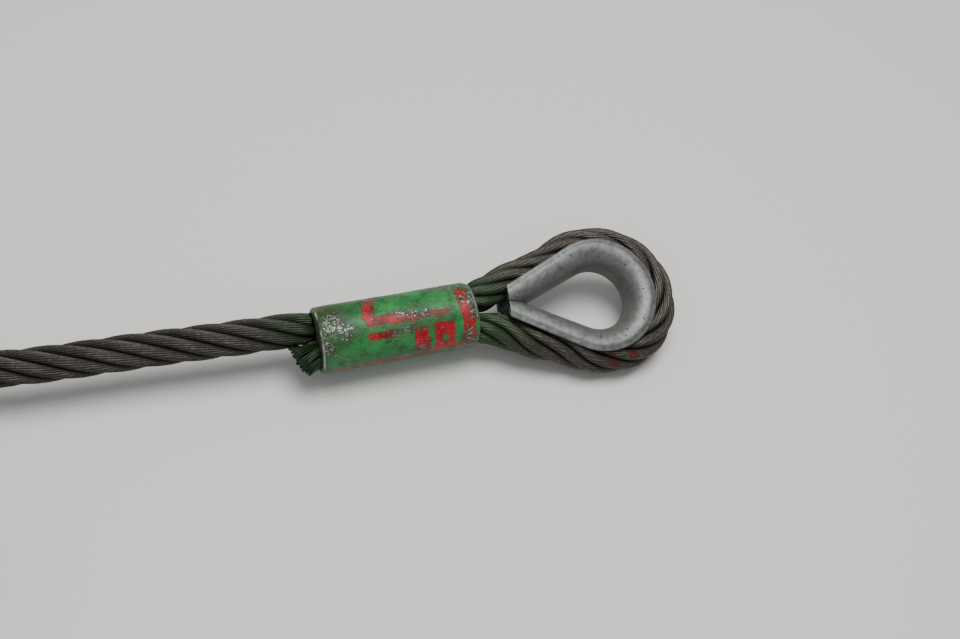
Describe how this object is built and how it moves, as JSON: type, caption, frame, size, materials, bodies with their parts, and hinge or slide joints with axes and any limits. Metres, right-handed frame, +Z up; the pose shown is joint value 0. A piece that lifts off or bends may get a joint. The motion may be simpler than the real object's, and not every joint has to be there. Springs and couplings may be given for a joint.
{
  "type": "wire rope sling",
  "caption": "Short steel wire rope lifting sling with a thimble eye and a pressed, painted ferrule at each end.",
  "frame": {"origin": "on the axis of the pin that seats in the crown of eye A's thimble, halfway across the thimble", "axes": "+X along the sling towards the crown of eye A, +Z up from the floor it lies on, +Y to the side where eye A's edge is raised"},
  "size_m": [0.5835, 0.1424, 0.03],
  "materials": {
    "wire_rope": "oiled six-strand wire",
    "painted_ferrule": "chipped paint on metal",
    "zinc_thimble": "dull hot-dip zinc"
  },
  "bodies": {
    "root": {"rope_run_a": "wire_rope", "rope_coil": "wire_rope", "rope_run_b": "wire_rope"},
    "end_a": {"ferrule_a": "painted_ferrule", "eye_rope_a": "wire_rope", "live_part_a": "wire_rope", "dead_part_a": "wire_rope", "dead_end_strands_a": "wire_rope", "dead_end_core_a": "wire_rope", "rope_tail_a": "wire_rope"},
    "thimble_a": {"thimble_a": "zinc_thimble"},
    "end_b": {"ferrule_b": "painted_ferrule", "eye_rope_b": "wire_rope", "live_part_b": "wire_rope", "dead_part_b": "wire_rope", "dead_end_strands_b": "wire_rope", "dead_end_core_b": "wire_rope", "rope_tail_b": "wire_rope"},
    "thimble_b": {"thimble_b": "zinc_thimble"}
  },
  "joints": [
    {"name": "flex_a", "type": "hinge", "parent": "root", "child": "end_a", "pos_m": [-0.14255, 0.00904, 0.00292], "axis": [-0.0548, -0.9985, 0], "range_deg": [0, 25], "stiffness_Nm_per_rad": 6},
    {"name": "thimble_slide_a", "type": "slide", "parent": "end_a", "child": "thimble_a", "axis": [0.9951, -0.0933, -0.034], "range_m": [0, 0.003]},
    {"name": "flex_b", "type": "hinge", "parent": "root", "child": "end_b", "pos_m": [-0.35, 0.009, -0.00568], "axis": [-0.3237, 0.9462, 0], "range_deg": [0, 25], "stiffness_Nm_per_rad": 6},
    {"name": "thimble_slide_b", "type": "slide", "parent": "end_b", "child": "thimble_b", "axis": [-0.9951, 0.0933, -0.034], "range_m": [0, 0.003]}
  ]
}
